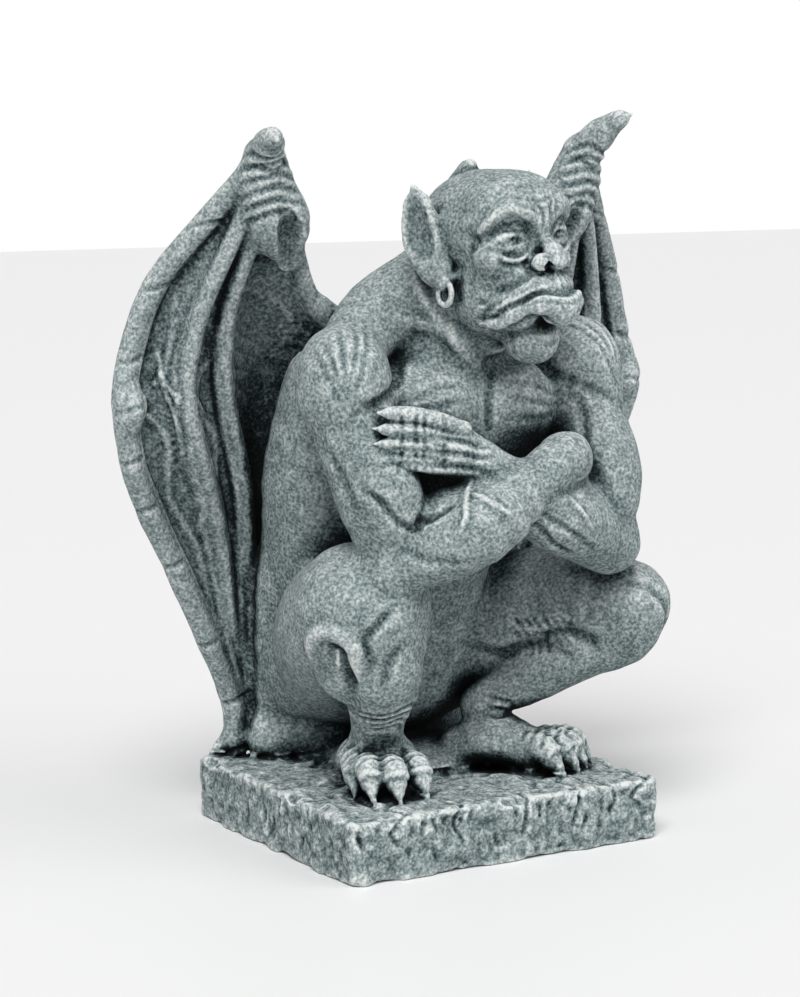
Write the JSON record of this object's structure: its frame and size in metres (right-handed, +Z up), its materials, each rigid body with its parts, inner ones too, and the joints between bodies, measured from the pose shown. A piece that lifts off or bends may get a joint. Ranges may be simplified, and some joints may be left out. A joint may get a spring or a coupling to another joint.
{
  "type": "stone gargoyle",
  "caption": "Crouching winged gargoyle statue with folded arms, cast in one with its rough square base.",
  "frame": {"origin": "centre of the base's flat underside", "axes": "+Z up; the figure's chest and knees face -Y and its left hand side is +X"},
  "size_m": [0.343, 0.2026, 0.4061],
  "materials": {
    "cast_stone": "matt pitted grey cast stone with a faint blue-green tint, dark wash in the hollows and pale rubbed high spots"
  },
  "bodies": {
    "root": {"gargoyle": "cast_stone"}
  },
  "joints": []
}
